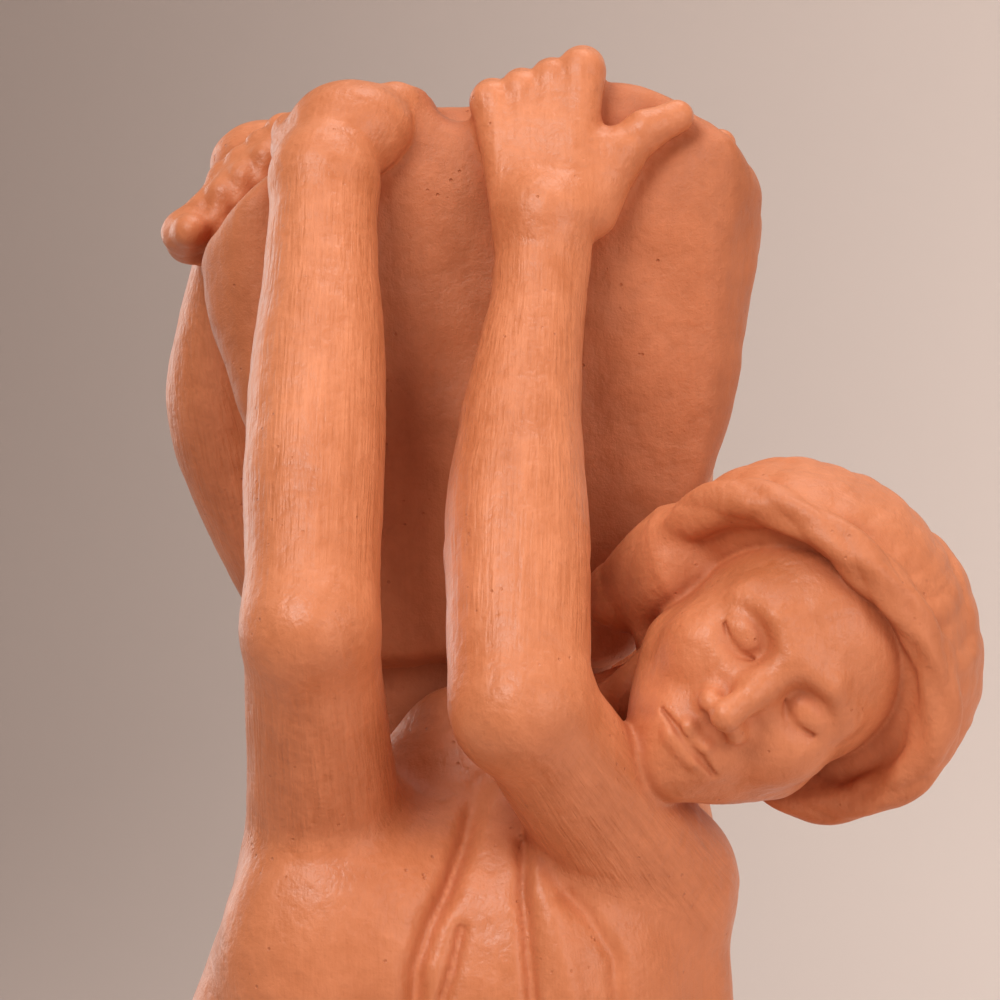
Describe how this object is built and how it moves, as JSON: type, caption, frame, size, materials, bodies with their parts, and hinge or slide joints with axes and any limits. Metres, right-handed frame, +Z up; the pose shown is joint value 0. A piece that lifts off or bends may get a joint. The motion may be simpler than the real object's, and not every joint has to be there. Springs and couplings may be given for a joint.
{
  "type": "terracotta figure group sculpture",
  "caption": "Terracotta figure group: robed bearers kneel back to back with raised arms gripping a tapering boulder that rests on a hollow post, on a bevelled slab.",
  "frame": {"origin": "middle of the plinth's underside, where it rests on a shelf", "axes": "+Z up; the front bearer faces -Y and the rear bearer faces +Y; +X is the side that the front bearer's head leans to"},
  "size_m": [0.204, 0.231, 0.4673],
  "materials": {
    "skin_clay": "burnished terracotta with a thin wax sheen and fine brush marks",
    "hair_clay": "burnished terracotta, tooled",
    "robe_clay": "terracotta, brushed slip",
    "boulder_clay": "terracotta, scraped and left matt",
    "base_clay": "terracotta, matt"
  },
  "bodies": {
    "root": {"plinth": "base_clay", "core_post": "base_clay", "boulder": "boulder_clay", "front_robe": "robe_clay", "front_chest": "skin_clay", "front_neck": "skin_clay", "front_head": "skin_clay", "front_hair_cap": "hair_clay", "front_hair_roll": "hair_clay", "front_hair_knot": "hair_clay", "front_right_upper_arm": "skin_clay", "front_right_forearm": "skin_clay", "front_right_hand": "skin_clay", "front_left_upper_arm": "skin_clay", "front_left_forearm": "skin_clay", "front_left_hand": "skin_clay", "rear_robe": "robe_clay", "rear_chest": "skin_clay", "rear_neck": "skin_clay", "rear_head": "skin_clay", "rear_hair_cap": "hair_clay", "rear_hair_roll": "hair_clay", "rear_hair_knot": "hair_clay", "rear_right_upper_arm": "skin_clay", "rear_right_forearm": "skin_clay", "rear_right_hand": "skin_clay", "rear_left_upper_arm": "skin_clay", "rear_left_forearm": "skin_clay", "rear_left_hand": "skin_clay"}
  },
  "joints": []
}
